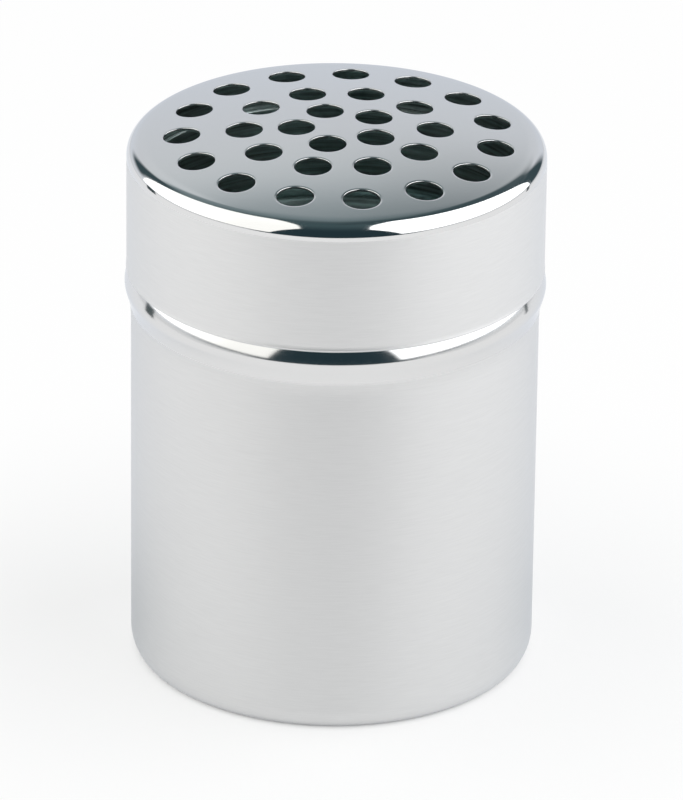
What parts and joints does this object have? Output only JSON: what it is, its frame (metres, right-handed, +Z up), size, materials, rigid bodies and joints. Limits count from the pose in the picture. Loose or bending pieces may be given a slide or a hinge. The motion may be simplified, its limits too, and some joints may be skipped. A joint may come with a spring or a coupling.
{
  "type": "spice shaker",
  "caption": "Round spice shaker: a straight drawn steel cup with a stop bead, and a slip-on lid with a slightly domed top punched with rings of round holes.",
  "frame": {"origin": "middle of the plane that the shaker stands on", "axes": "+Z up along the shaker's axis; seen along +Y the lid's holes lie as in the picture"},
  "size_m": [0.0706, 0.0706, 0.0952],
  "materials": {
    "cup_steel": "stainless steel, satin on the wall, polished on the bead's shoulder",
    "lid_steel": "stainless steel, satin on the wall and the top, polished on the rounded rim"
  },
  "bodies": {
    "shaker_cup": {"cup": "cup_steel"},
    "shaker_lid": {"perforated_lid": "lid_steel"}
  },
  "joints": [
    {"name": "lid_lift", "type": "slide", "parent": "shaker_cup", "child": "shaker_lid", "axis": [0, 0, 1], "range_m": [0, 0.025]}
  ]
}
